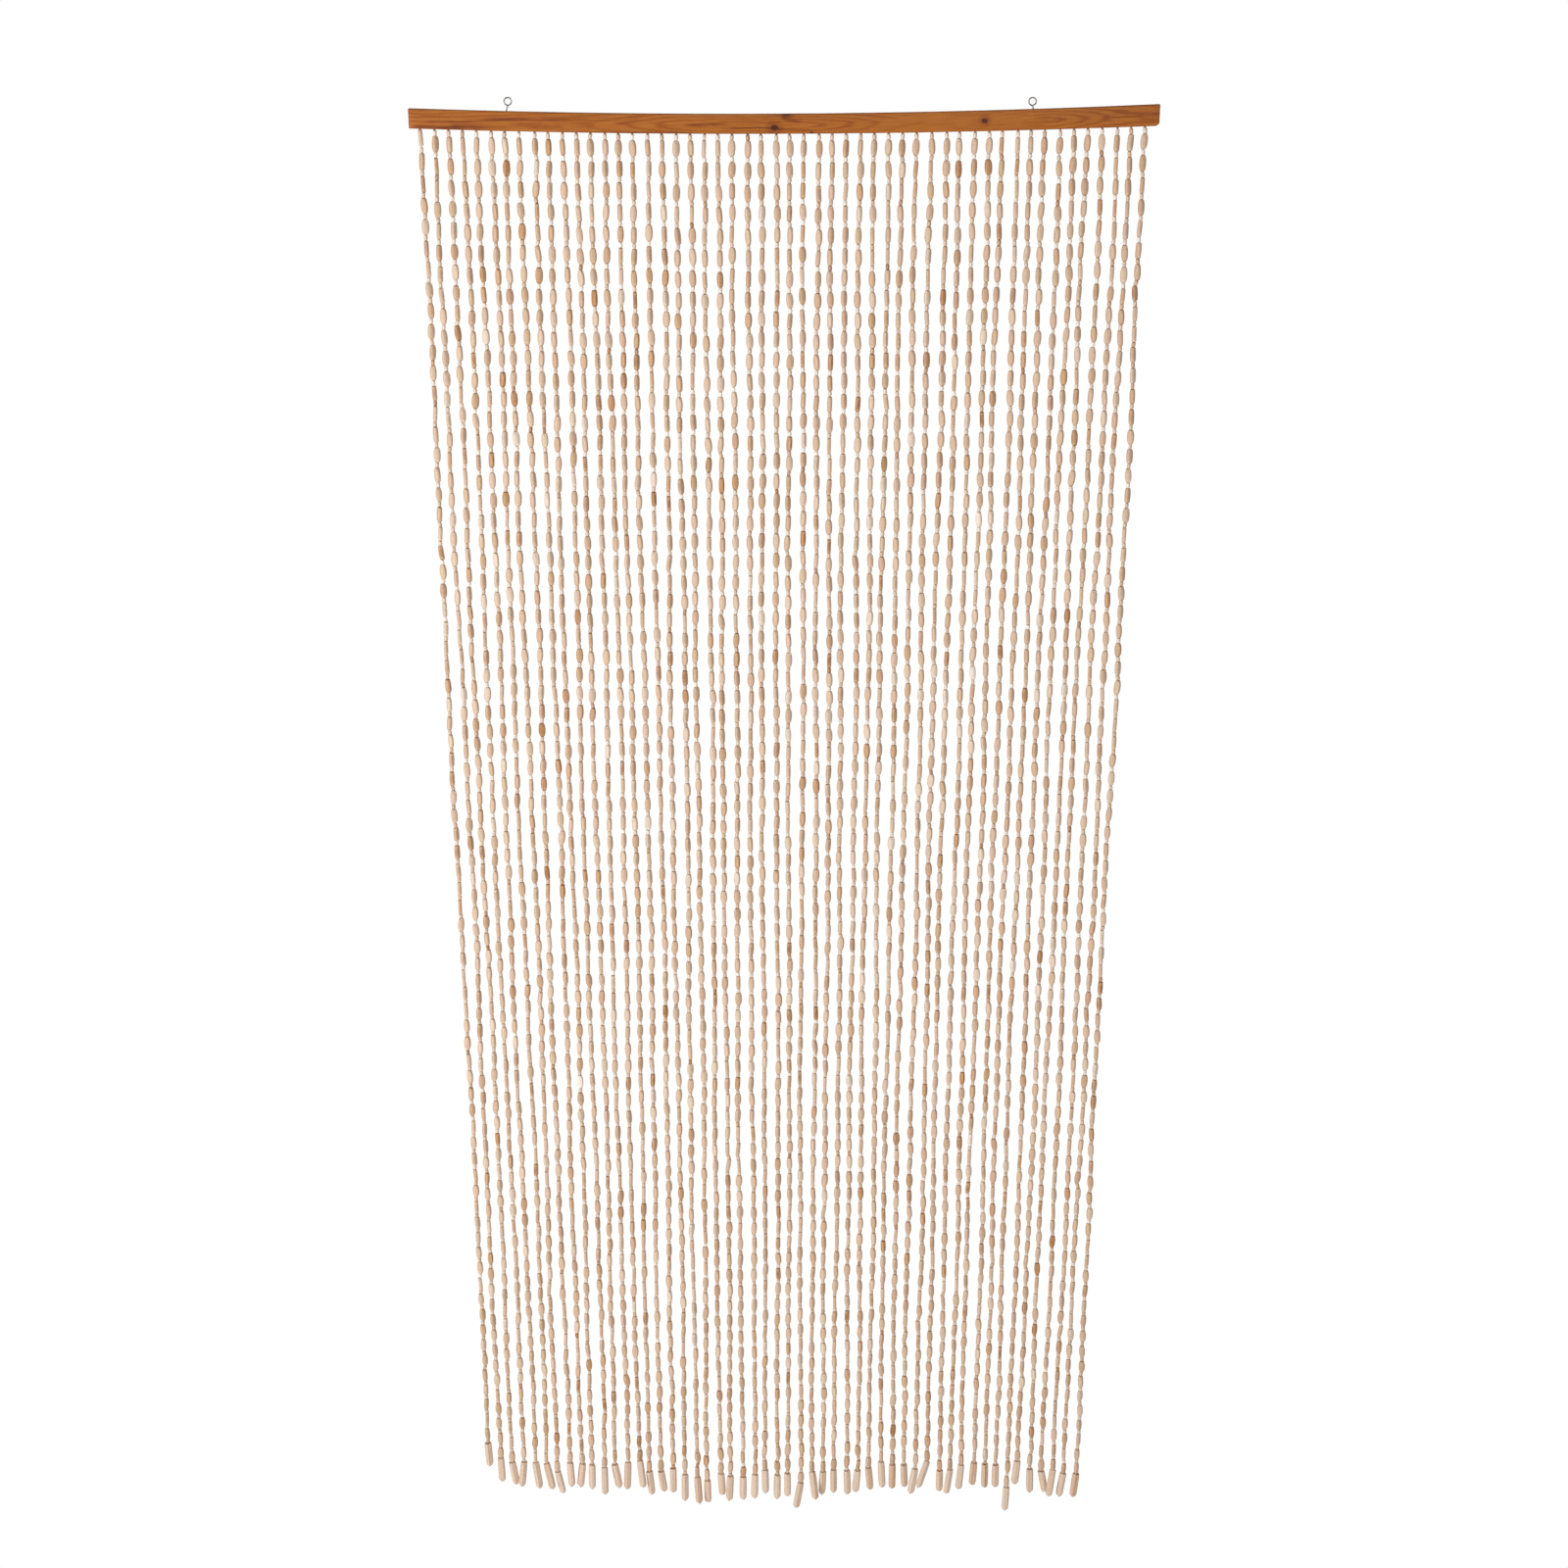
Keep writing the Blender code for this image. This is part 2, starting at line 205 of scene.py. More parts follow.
TOP_GAP = 1.2 * MM
WIDE_TOP_GAPS = {45: 1.8 * MM, 46: 1.9 * MM, 50: 1.8 * MM, 51: 1.6 * MM}
Gap = namedtuple("Gap", "strand after size")
THREAD_GAPS = (
    Gap(1, 1, 1.6 * MM),
    Gap(46, 1, 1.2 * MM),
    Gap(46, 2, 1.8 * MM),
    Gap(46, 4, 1.5 * MM),
)
Kink = namedtuple("Kink", "strand z aside")
KINKS = (
    Kink(8, -1766 * MM, -1.6 * MM),
    Kink(9, -940 * MM, 2.2 * MM),
    Kink(11, -1854 * MM, 1.8 * MM),
    Kink(13, -1802 * MM, 2.2 * MM),
    Kink(17, -1818 * MM, 1.6 * MM),
    Kink(22, -1435 * MM, 2.4 * MM),
    Kink(32, -564 * MM, -2.2 * MM),
)
STARTS_LONG = {1}
ENDS_ROUND = {1, 4, 10, 12, 13, 17, 18, 22, 26, 27, 32, 37, 38, 44, 45, 48}

# Drops: along counts from a drop's top, 0, to its foot, 1
DROP_WIDTH = 10.0 * MM
DROP_THICKNESS = 8.2 * MM
DROP_CHAMFER = 2.3 * MM
DROP_RINGS = (
    BeadRing(0.0, 0.84, 0.84),
    BeadRing(0.03, 0.95, 0.95),
    BeadRing(0.3, 1.0, 1.0),
    BeadRing(0.6, 1.01, 1.01),
    BeadRing(0.87, 1.0, 1.0),
    BeadRing(0.95, 0.88, 0.88),
    BeadRing(1.0, 0.55, 0.55),
)
DROP_UNEVENNESS = 0.22 * MM
DROP_TURN_DEG = 38
DROP_HOLE_RIM = 2.4 * MM
DROP_HOLE_DEPTH = 4 * MM
SLANTED_DROPS = {9: 0.55, 16: 0.7}

# Thread and knots
THREAD_RADIUS = 0.5 * MM
THREAD_SIDES = 4
THREAD_END_SIDES = 5
TOP_KNOT_RADIUS = 1.5 * MM
FOOT_KNOT_RADIUS = 1.45 * MM
BIG_FOOT_KNOT_RADIUS = 1.8 * MM
FOOT_KNOT_DROP = 0.7 * MM
TIE_CORD_RADIUS = 0.7 * MM
TIE_CORD_SIDES = 6
DARK_FOOT_KNOTS = {1, 8, 10, 12, 22, 25, 26, 31, 46, 48, 51}
PALE_FOOT_KNOTS = {2, 3, 23, 24, 33, 34, 40, 52}
THREAD_ENDS = {19: 2, 30: 1, 40: 1}
THREAD_END_LENGTH = 3.2 * MM

# Tones of bead wood, from 0, the darkest brown, to 1, the palest beige
LONG_TONE = 0.4
LONG_TONE_SPREAD = 0.15
LONG_TONE_LIMITS = (0.3, 0.95)
# Painted light: long beads are made paler half way down the curtain, where the light falls brightest
PAINTED_LIGHT_HALF_WAY = 0.56
ORANGE_LONG_CHANCE = 0.14
ORANGE_LONG_TONE = (0.12, 0.24)
ROUND_TONE = 0.76
ROUND_TONE_SPREAD = 0.2
ROUND_TONE_LIMITS = (0.2, 1.0)
DARKER_AT_HEM = 0.2
DARK_ROUND_CHANCE = 0.03
DARK_ROUND_TONE = 0.08
MOST_PINKNESS = 0.6
DROP_TONE = (0.66, 0.82)
DROP_STRIPE_STRENGTH = (0, 0.3)
DROP_PINKNESS = 0.45

# Tones of twine, from 0, dark brown, to 1, cream
# The top knots' dark tone is partly the twine's own and partly painted shadow of the rail
TOP_KNOT_AND_RAIL_SHADOW_TONE = (0.15, 0.5)
FOOT_KNOT_TONE = (0.4, 0.7)
DARK_KNOT_TONE = 0.3
PALE_KNOT_TONE = 0.95
THREAD_TONE = 0.45
THREAD_END_TONE = 0.4
TIE_CORD_TONE = 0.5

# How a drop's wood looks: stripe is where a darker stripe runs, from its left side, -1, to its right, 1
DropWood = namedtuple("DropWood", "strand tone stripe strength rim")
DROP_WOODS = (
    DropWood(4, 0.75, 0.7, 0.8, 0.2),
    DropWood(9, 0.65, -0.8, 0.9, 0.4),
    DropWood(12, 0.7, -0.8, 0.9, 0.3),
    DropWood(19, 0.55, 0.5, 0.5, 0.3),
    DropWood(28, 0.66, 0.6, 0.3, 0.9),
    DropWood(29, 0.7, 0.6, 0.4, 0.9),
    DropWood(34, 0.6, 0.2, 0.7, 0.4),
    DropWood(36, 0.5, 0.4, 0.8, 0.4),
    DropWood(43, 0.5, 0.1, 0.7, 0.3),
    DropWood(44, 0.55, -0.2, 0.7, 0.3),
    DropWood(52, 0.45, 0.5, 0.8, 0.4),
)

# Studio
FLOOR_Z = -2300 * MM
FLOOR_RADIUS = 30
Lamp = namedtuple("Lamp", "name place size power")
LAMPS = (
    Lamp("window_left", (-2.6, -2.6, -0.4), 1.4, 105),
    Lamp("front_fill", (0.9, -3.2, 0.6), 2.0, 22),
    Lamp("back_fill", (0.8, 3.4, -0.7), 2.0, 70),
)
LIT_POINT = Vector((0, 0, -1))
WORLD_GLOW = 0.34
FLOOR_GLOW = 0.12
CAMERA_PLACE = (0, -2.7835, 0.1121)
CAMERA_PITCH_DEG = 70.56
CAMERA_LENS_MM = 51.07

DropFrame = namedtuple("DropFrame", "tilt top")


# Colours and shader maths


def srgb(text):
    """Turn a colour such as d8bd9e into the numbers that a shader takes."""
    channels = [int(text[at : at + 2], 16) / 255 for at in (0, 2, 4)]
    linear = [c / 12.92 if c <= 0.04045 else ((c + 0.055) / 1.055) ** 2.4 for c in channels]
    return (*linear, 1.0)


class Reading:
    """A shader socket: sums on it add their own Math nodes."""

    def __init__(self, finish, socket):
        self.finish = finish
        self.socket = socket

    def __add__(self, other):
        return self.finish.sum("ADD", self, other)

    def __radd__(self, other):
        return self.finish.sum("ADD", other, self)

    def __sub__(self, other):
        return self.finish.sum("SUBTRACT", self, other)

    def __rsub__(self, other):
        return self.finish.sum("SUBTRACT", other, self)

    def __mul__(self, other):
        return self.finish.sum("MULTIPLY", self, other)

    def __rmul__(self, other):
        return self.finish.sum("MULTIPLY", other, self)

    def __truediv__(self, other):
        return self.finish.sum("DIVIDE", self, other)

    def __pow__(self, other):
        return self.finish.sum("POWER", self, other)

    def __abs__(self):
        return self.finish.sum("ABSOLUTE", self, 0)


class Finish:
    """A procedural material and the nodes that make it."""

    def __init__(self, name):
        self.material = bpy.data.materials.new(name)
        self.material.use_nodes = True
        self.tree = self.material.node_tree
        self.shader = self.tree.nodes["Principled BSDF"]

    def node(self, kind, settings=None, inputs=None, output=0):
        """Add a node: its settings first, then the values or links of its sockets."""
        node = self.tree.nodes.new(kind)
        for name, value in (settings or {}).items():
            if name == "stops":
                self.set_stops(node.color_ramp.elements, value)
            else:
                setattr(node, name, value)
        for key, value in (inputs or {}).items():
            self.feed(node.inputs[key], value)
        return Reading(self, node.outputs[output])

    def set_stops(self, elements, stops):
        while len(elements) < len(stops):
            elements.new(1.0)
        for element, (place, colour) in zip(elements, stops):
            element.position = place
            element.color = colour

    def feed(self, socket, value):
        if isinstance(value, Reading):
            self.tree.links.new(value.socket, socket)
        else:
            socket.default_value = value

    def sum(self, operation, first, second):
        return self.node("ShaderNodeMath", {"operation": operation}, {0: first, 1: second})

    def wave(self, value):
        """A wave from 0 to 1, one for each whole number of the value."""
        return self.sum("SINE", value * math.tau, 0) * 0.5 + 0.5

    def fade(self, value, start, stop):
        """Go smoothly from 0 to 1 as the value goes from start to stop."""
        settings = {"interpolation_type": "SMOOTHSTEP"}
        inputs = {"Value": value, "From Min": start, "From Max": stop}
        return self.node("ShaderNodeMapRange", settings, inputs)

    def vector(self, operation, first, second):
        return self.node("ShaderNodeVectorMath", {"operation": operation}, {0: first, 1: second})

    def scaled(self, vector, factors):
        return self.vector("MULTIPLY", vector, factors)

    def attribute(self, name):
        return self.node("ShaderNodeAttribute", {"attribute_name": name}, output="Vector")

    def axes(self, vector):
        parts = self.node("ShaderNodeSeparateXYZ", inputs={0: vector}).socket.node
        return [Reading(self, output) for output in parts.outputs]

    def noise(self, vector, detail=2.0, roughness=0.5):
        inputs = {"Vector": vector, "Scale": 1.0, "Detail": detail, "Roughness": roughness}
        return self.node("ShaderNodeTexNoise", inputs=inputs)

    def ramp(self, value, stops):
        return self.node("ShaderNodeValToRGB", {"stops": stops}, {0: value})

    def mix(self, share, first, second, blend="MIX"):
        settings = {"data_type": "RGBA", "blend_type": blend}
        return self.node("ShaderNodeMix", settings, {0: share, 6: first, 7: second}, output=2)

    def bump(self, height, distance, strength):
        inputs = {"Height": height, "Distance": distance, "Strength": strength}
        return self.node("ShaderNodeBump", inputs=inputs)

    def set(self, **values):
        for name, value in values.items():
            self.feed(self.shader.inputs[name.replace("_", " ").title()], value)
        return self.material


# Materials


BEAD_WOOD = (
    (0.0, srgb("865932")),
    (0.1, srgb("ab7641")),
    (0.2, srgb("b68f66")),
    (0.38, srgb("be9f7f")),
    (0.6, srgb("c7ad91")),
    (0.82, srgb("d4c2ad")),
    (1.0, srgb("e9dfd3")),
)


# Painted shade: how much darker a bead is painted at its narrow sides and its ends, where shade falls, and
# from which share of the half length
BeadShade = namedtuple("BeadShade", "side end end_from")
LONG_BEAD_SHADE = BeadShade(0.15, 0.25, 0.86)
ROUND_BEAD_SHADE = BeadShade(0.0, 0.6, 0.6)
DROP_SHADE = BeadShade(0.0, 0.15, 0.97)


def bead_wood(name, width, length, shade):
    """Bare wood of a bead: each bead has its own tone, with grain along it, and painted shade darkens its
    ends and sides.
    """
    finish = Finish(name)
    place = finish.attribute("bead_place")
    tone, pinkness, _ = finish.axes(finish.attribute("bead_tone"))
    across, _, along = finish.axes(place)
    start = finish.scaled(finish.attribute("bead_tone"), (37, 37, 37))
    fibres = finish.noise(finish.vector("ADD", finish.scaled(place, (1500, 1500, 90)), start), 3.0, 0.6)
    bands = finish.noise(finish.vector("ADD", finish.scaled(place, (420, 420, 35)), start), 2.0)
    # Painted shade: the narrow sides and the ends of each bead are darkened
    side = finish.fade(abs(across), 0.4 * width, 0.51 * width)
    end = finish.fade(abs(along), shade.end_from * length / 2, length / 2)
    depth = tone + (fibres - 0.5) * 0.34 + (bands - 0.5) * 0.34 - side * shade.side - end * shade.end
    wood = finish.ramp(depth, BEAD_WOOD)
    pinkish = finish.mix(pinkness, wood, srgb("cbad99"))
    radius = finish.node(
        "ShaderNodeVectorMath", {"operation": "LENGTH"}, {0: finish.scaled(place, (1, 1, 0))}, "Value"
    )
    return finish, pinkish, fibres, radius


def long_bead_wood():
    finish, wood, fibres, _ = bead_wood("long bead wood", LONG_BEAD_WIDTH, LONG_BEAD_LENGTH, LONG_BEAD_SHADE)
    bump = finish.bump(fibres, 0.15 * MM, 0.35)
    return finish.set(base_color=wood, roughness=0.56 + fibres * 0.16, normal=bump)


def round_bead_wood():
    """Turned beads are smoother and glossier, with painted shade darkening the hole in each end."""
    finish, wood, fibres, radius = bead_wood(
        "round bead wood", ROUND_BEAD_WIDTH, ROUND_BEAD_LENGTH, ROUND_BEAD_SHADE
    )
    _, _, along = finish.axes(finish.attribute("bead_place"))
    in_end = finish.fade(abs(along), 0.36 * ROUND_BEAD_LENGTH, 0.4 * ROUND_BEAD_LENGTH)
    # Painted shade: the shallow hole in each end is coloured dark brown
    hole = (1 - finish.fade(radius, 0.18 * ROUND_BEAD_WIDTH, 0.36 * ROUND_BEAD_WIDTH)) * in_end
    hole_shaded = finish.mix(hole, wood, srgb("4f3019"))
    bump = finish.bump(fibres, 0.1 * MM, 0.3)
    return finish.set(base_color=hole_shaded, roughness=0.3 + fibres * 0.16, normal=bump)


def drop_wood():
    finish, wood, fibres, _ = bead_wood("drop wood", DROP_WIDTH, DROP_LENGTH, DROP_SHADE)
    across, _, along = finish.axes(finish.attribute("bead_place"))
    stripe, strength, rim = finish.axes(finish.attribute("drop_marks"))
    wander = (finish.noise(finish.scaled(finish.attribute("bead_place"), (0, 0, 60))) - 0.5) * 0.8
    off = abs(across / (DROP_WIDTH / 2) + wander - stripe)
    heartwood = (1 - finish.fade(off, 0.08, 0.42)) * strength
    striped = finish.mix(heartwood, wood, srgb("ae7d50"))
    top = finish.fade(along, 0.49 * DROP_LENGTH, 0.5 * DROP_LENGTH) * (0.35 + rim * 0.65)
    rimmed = finish.mix(top, striped, srgb("8a5226"))
    bump = finish.bump(fibres, 0.2 * MM, 0.4)
    return finish.set(base_color=rimmed, roughness=0.55 + fibres * 0.2, normal=bump)


def knotted_thread():
    """Twine: its tone goes from dark brown at the top knots, partly painted shadow under the rail, to pale at
    the loose ends.
    """
    finish = Finish("twine")
    place = finish.node("ShaderNodeTexCoord", output="Object")
    tone, _, _ = finish.axes(finish.attribute("bead_tone"))
    strands = finish.noise(finish.scaled(place, (2600, 2600, 900)), 2.0)
    stops = ((0.0, srgb("4a3222")), (0.5, srgb("8d7660")), (1.0, srgb("dccbb4")))
    colour = finish.ramp(tone + (strands - 0.5) * 0.35, stops)
    bump = finish.bump(strands, 0.2 * MM, 0.6)
    return finish.set(base_color=colour, roughness=0.8 + strands * 0.12, normal=bump)


# The rail's streaks and knots in millimetres: x from its middle, depth down from its top
Streak = namedtuple("Streak", "start stop depth slope thickness strength")
STREAKS = (
    Streak(-452, -375, 20.0, 0.0, 3.0, 0.5),
    Streak(-435, -360, 13.6, 0.0, 1.3, 0.4),
    Streak(-405, -350, 17.6, 0.0, 4.0, 0.35),
    Streak(-440, -395, 8.2, 0.0, 1.2, 0.4),
    Streak(-385, -190, 9.8, -0.012, 2.6, 0.4),
    Streak(-250, -80, 21.8, 0.0, 1.6, 0.4),
    Streak(-125, -55, 12.6, 0.0, 1.5, 0.45),
    Streak(-70, 0, 15.6, 0.0, 1.1, 0.6),
    Streak(-20, 50, 16.6, 0.04, 1.0, 0.5),
    Streak(-6, 26, 4.0, 0.18, 3.4, 0.4),
    Streak(385, 432, 12.2, 0.0, 1.3, 0.45),
)
Knot = namedtuple("Knot", "x depth wide high strength")
KNOTS = (
    Knot(-11.5, 15.6, 4.0, 2.9, 1.0),
    Knot(3.2, 0.6, 3.6, 1.7, 0.95),
    Knot(33.0, 22.0, 1.6, 1.1, 0.9),
    Knot(240.5, 11.4, 2.9, 2.4, 1.0),
)


def pine_rings(finish, along, depth):
    """Growth rings of a sawn lath: straight at its left end, then nested arches where the core comes near."""
    core_depth = (1 - finish.fade(along, -460, -190)) * 11 + 12.6
    left = (1 - finish.fade(along, -265, -50)) * 9
    middle = finish.fade(along, 0, 170) * (1 - finish.fade(along, 170, 330)) * 9
    right = finish.fade(along, 290, 430) * 8
    away = left + middle + right + 0.8
    above = (depth - core_depth) * 0.7
    return finish.sum("SQRT", above * above + away * away, 0)


def varnished_pine():
    """Orange-brown varnished pine: growth rings run along the rail and bend round its knots."""
    finish = Finish("varnished pine")
    place = finish.attribute("straight_place")
    along, through, up = finish.axes(finish.scaled(place, (1000, 1000, 1000)))
    depth = up * -1
    ripple = finish.noise(finish.scaled(place, (22, 60, 130)), 3.0) - 0.5
    fibres = finish.noise(finish.scaled(place, (40, 1300, 1300)), 4.0, 0.65)
    patches = finish.noise(finish.scaled(place, (14, 40, 60)), 2.0)
    lumps = finish.noise(finish.scaled(place, (330, 330, 330)), 2.0) - 0.5
    cores = None
    halos = 0.0
    bend = 0.0
    for knot in KNOTS:
        beside = (along - knot.x) / knot.wide
        above = (depth - knot.depth) / knot.high
        near = beside * beside + above * above
        bend = bend + above / (near * 0.5 + 1.6)
        core = (1 - finish.fade(near + lumps * 2.8, 0.3, 2.3)) * knot.strength
        halos = halos + (1 - finish.fade(near, 1, 12)) * knot.strength
        cores = core if cores is None else finish.sum("MAXIMUM", cores, core)
    rings = finish.wave((pine_rings(finish, along, depth) + ripple * 2.6 + through * 0.7) / 2.3 - bend * 0.7)
    plain = finish.fade(along, 90, 150) * (1 - finish.fade(along, 270, 320))
    dark = rings**2.5 * (0.12 + patches * 0.34) * (1 - plain * 0.7) + (fibres - 0.5) * 1.1 + 0.1 + halos * 0.3
    for streak in STREAKS:
        line = depth - (along - streak.start) * streak.slope - streak.depth + ripple * 3
        body = 1 - finish.fade(abs(line), 0.1 * streak.thickness, streak.thickness)
        reach = (streak.stop - streak.start) * 0.22
        shown = finish.fade(along, streak.start, streak.start + reach)
        shown = shown * (1 - finish.fade(along, streak.stop - 2 * reach, streak.stop))
        dark = dark + body * shown * streak.strength
    stops = ((0.0, srgb("a56220")), (0.3, srgb("934f15")), (0.62, srgb("7a3d0c")), (1.0, srgb("5f2905")))
    wood = finish.ramp(dark + (patches - 0.5) * 0.3, stops)
    knotted = finish.mix(cores, wood, srgb("451d0b"))
    # Painted shade: the rail's ends and its rounded top and bottom edges are darkened, and the same mask
    # dulls the varnish there
    end = finish.fade(abs(along), 447.8, 450.0)
    brim = 1 - finish.fade(depth, 0.2, 1.3)
    foot = finish.fade(depth, 21.9, 22.9)
    edges = finish.sum("MAXIMUM", brim, foot) * finish.fade(abs(through), 4.4, 5.4)
    edge_shade = finish.sum("MAXIMUM", end, edges) * 0.55
    dull = finish.sum("MAXIMUM", edge_shade, brim) * 0.6
    edge_shaded = finish.mix(edge_shade, knotted, srgb("6b3716"))
    bump = finish.bump(fibres - cores * 0.6, 0.1 * MM, 0.35)
    finish.shader.inputs["Specular IOR Level"].default_value = 0.2
    finish.shader.inputs["Coat Roughness"].default_value = 0.25
    finish.shader.inputs["Coat Weight"].default_value = 0.05
    return finish.set(base_color=edge_shaded, roughness=0.42 + fibres * 0.14 + dull, normal=bump)


def zinc_wire():
    """Dull zinc plating with darker, rougher patches."""
    finish = Finish("zinc wire")
    place = finish.node("ShaderNodeTexCoord", output="Object")
    patches = finish.noise(finish.scaled(place, (420, 420, 420)), 3.0)
    drawn = finish.noise(finish.scaled(place, (2400, 2400, 700)), 2.0)
    colour = finish.ramp(patches * 0.7 + drawn * 0.3, ((0.3, srgb("77726c")), (0.7, srgb("a29f9b"))))
    bump = finish.bump(drawn, 0.05 * MM, 0.3)
    finish.shader.inputs["Metallic"].default_value = 1.0
    return finish.set(base_color=colour, roughness=0.3 + patches * 0.25, normal=bump)


def pale_floor():
    """White paper that glows to the camera as brightly as the white behind it."""
    finish = Finish("pale studio floor")
    place = finish.node("ShaderNodeTexCoord", output="Object")
    grain = finish.noise(finish.scaled(place, (3, 3, 3)), 2.0)
    colour = finish.ramp(grain, ((0.3, srgb("fafafa")), (0.7, srgb("ffffff"))))
    seen = finish.node("ShaderNodeLightPath", output="Is Camera Ray")
    glow = finish.mix(seen, (FLOOR_GLOW, FLOOR_GLOW, FLOOR_GLOW, 1), (1, 1, 1, 1))
    paper = finish.mix(seen, colour, (0, 0, 0, 1))
    finish.shader.inputs["Emission Strength"].default_value = 1.0
    finish.shader.inputs["Specular IOR Level"].default_value = 0.0
    return finish.set(base_color=paper, roughness=0.8 + grain * 0.1, emission_color=glow)


# The curtain's lines


def rail_top(x):
    along = x / (RAIL_LENGTH / 2)
    return RAIL_TOP_MIDDLE + RAIL_BOW * along**2 + RAIL_TILT * along


def rail_depth(x):
    along = x / (RAIL_LENGTH / 2)
    return RAIL_DEPTH + RAIL_EXTRA_DEPTH * (along + along**2) / 2


def rail_bottom(x):
    return rail_top(x) - rail_depth(x)


def follow_bow(verts):
    """Move points from a straight rail, whose top lies at height 0, to the bowed one."""
    for vert in verts:
        vert.co.z = rail_top(vert.co.x) + vert.co.z * rail_depth(vert.co.x) / RAIL_DEPTH


def chance(strand, seed):
    """A repeatable number from -1 to 1 for one strand and one seed."""
    return random.Random(1000 * seed + strand).uniform(-1, 1)


def strand_x(strand):
    middle = (STRANDS + 1) / 2
    return STRAND_SHIFT + (strand - middle) * STRAND_PITCH + PITCH_UNEVENNESS * chance(strand, PITCH_SEED)


def sway(strand, below, seed):
    """Drift of a strand to one side, at a distance below the rail."""
    slow = math.sin(math.tau * (below / SLOW_SWAY_WAVE + chance(strand, seed)))
    quick = math.sin(math.tau * (below / QUICK_SWAY_WAVE + chance(strand, seed + 1)))
    return min(1.0, below / SWAY_FADE_IN) * (SLOW_SWAY * slow + QUICK_SWAY * quick)


def strand_centre(strand, z):
    x = strand_x(strand)
    below = rail_bottom(x) - z
    return Vector((x + sway(strand, below, SIDE_SWAY_SEED), sway(strand, below, DEPTH_SWAY_SEED), z))


def row_of(rows, strand, otherwise=None):
    return next((row for row in rows if row.strand == strand), otherwise)


def askew_drop(strand):
    lean = PLUMB_DROP_LEAN_DEG * chance(strand, LEAN_SEED)
    swing = PLUMB_DROP_SWING_DEG * chance(strand, SWING_SEED)
    return row_of(ASKEW_DROPS, strand, AskewDrop(strand, lean, swing, 0.0))


def tip_height(strand):
    """Height of a drop's lowest point: the hem between its knots, and the strand's own difference."""
    left, right = next(
        (left, right) for left, right in zip(HEM, HEM[1:]) if left.strand <= strand <= right.strand
    )
    share = (strand - left.strand) / (right.strand - left.strand)
    hem_z = left.tip_z + share * (right.tip_z - left.tip_z)
    return hem_z - askew_drop(strand).lower + HEM_UNEVENNESS * chance(strand, HEM_SEED)


def drop_frame(strand):
    """Tilt of a drop and the point at the middle of its top."""
    row = askew_drop(strand)
    tilt = Euler((math.radians(-row.swing_deg), math.radians(-row.lean_deg), 0)).to_matrix()
    downward = tilt @ Vector((0, 0, -1))
    top_z = tip_height(strand) - downward.z * DROP_LENGTH
    return DropFrame(tilt, strand_centre(strand, top_z))


# Making shapes


def everything(bm):
    return bm.verts[:] + bm.edges[:] + bm.faces[:]


def add_finishes(mesh, finishes):
    for finish in finishes:
        mesh.materials.append(finish)


def mesh_from(name, bm, finishes=(), smooth_below_deg=TURNED_DEG):
    """Turn a bmesh into a mesh that is smooth but for its square edges."""
    bmesh.ops.recalc_face_normals(bm, faces=bm.faces)
    for face in bm.faces:
        face.smooth = True
    for edge in bm.edges:
        edge.smooth = edge.calc_face_angle(math.pi) < math.radians(smooth_below_deg)
    mesh = bpy.data.meshes.new(name)
    bm.to_mesh(mesh)
    bm.free()
    add_finishes(mesh, finishes)
    return mesh


def add_piece(name, mesh, slot, *nodes):
    piece = bpy.data.objects.new(name, mesh)
    bpy.context.scene.collection.objects.link(piece)
    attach(piece, "root")
    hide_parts(*nodes)
    return piece


def paint(mesh, name, value):
    """Give every point of a mesh one value under a name that the materials read."""
    layer = mesh.attributes.get(name) or mesh.attributes.new(name, "FLOAT_VECTOR", "POINT")
    layer.data.foreach_set("vector", list(value) * len(mesh.vertices))


def keep_place(mesh, name):
    """Store where each point is now, so that a pattern stays with the wood when the piece is moved."""
    layer = mesh.attributes.new(name, "FLOAT_VECTOR", "POINT")
    layer.data.foreach_set("vector", [part for vert in mesh.vertices for part in vert.co])


def cut_rings(bm, rings, height_of):
    """Cut a loop round a blank at each ring's height, and draw the blank in there."""
    for ring in rings[1:-1]:
        plane = (0, 0, height_of(ring))
        bmesh.ops.bisect_plane(bm, geom=everything(bm), dist=1e-7, plane_co=plane, plane_no=(0, 0, 1))
    for vert in bm.verts:
        ring = min(rings, key=lambda ring: abs(height_of(ring) - vert.co.z))
        vert.co.x *= ring.wide
        vert.co.y *= ring.thick


def end_faces(bm):
    return [face for face in bm.faces if abs(face.normal.z) > 0.9]


def chamfered_blank(width, thickness, length, chamfer, segments):
    """A bar along Z with its four long edges cut off."""
    bm = bmesh.new()
    bmesh.ops.create_cube(bm, size=1, matrix=Matrix.Diagonal((width, thickness, length, 1)))
    upright = [edge for edge in bm.edges if abs((edge.verts[0].co - edge.verts[1].co).z) > length / 2]
    bmesh.ops.bevel(
        bm, geom=upright, offset=chamfer, segments=segments, profile=0.5, affect="EDGES", material=-1
    )
    return bm


def bead_template(name, bm, slot, smooth_below_deg):
    """A bead at the origin that knows its own place and starts with no tone or marks."""
    for face in bm.faces:
        face.material_index = slot
    mesh = mesh_from(name, bm, smooth_below_deg=smooth_below_deg)
    keep_place(mesh, "bead_place")
    paint(mesh, "bead_tone", (0, 0, 0))
    paint(mesh, "drop_marks", (0, 0, 0))
    return mesh


def long_bead():
    bm = chamfered_blank(LONG_BEAD_WIDTH, LONG_BEAD_THICKNESS, LONG_BEAD_LENGTH, LONG_BEAD_CHAMFER, 1)
    cut_rings(bm, LONG_BEAD_RINGS, lambda ring: ring.along * LONG_BEAD_LENGTH / 2)
    return bead_template("long bead", bm, 0, TURNED_DEG)


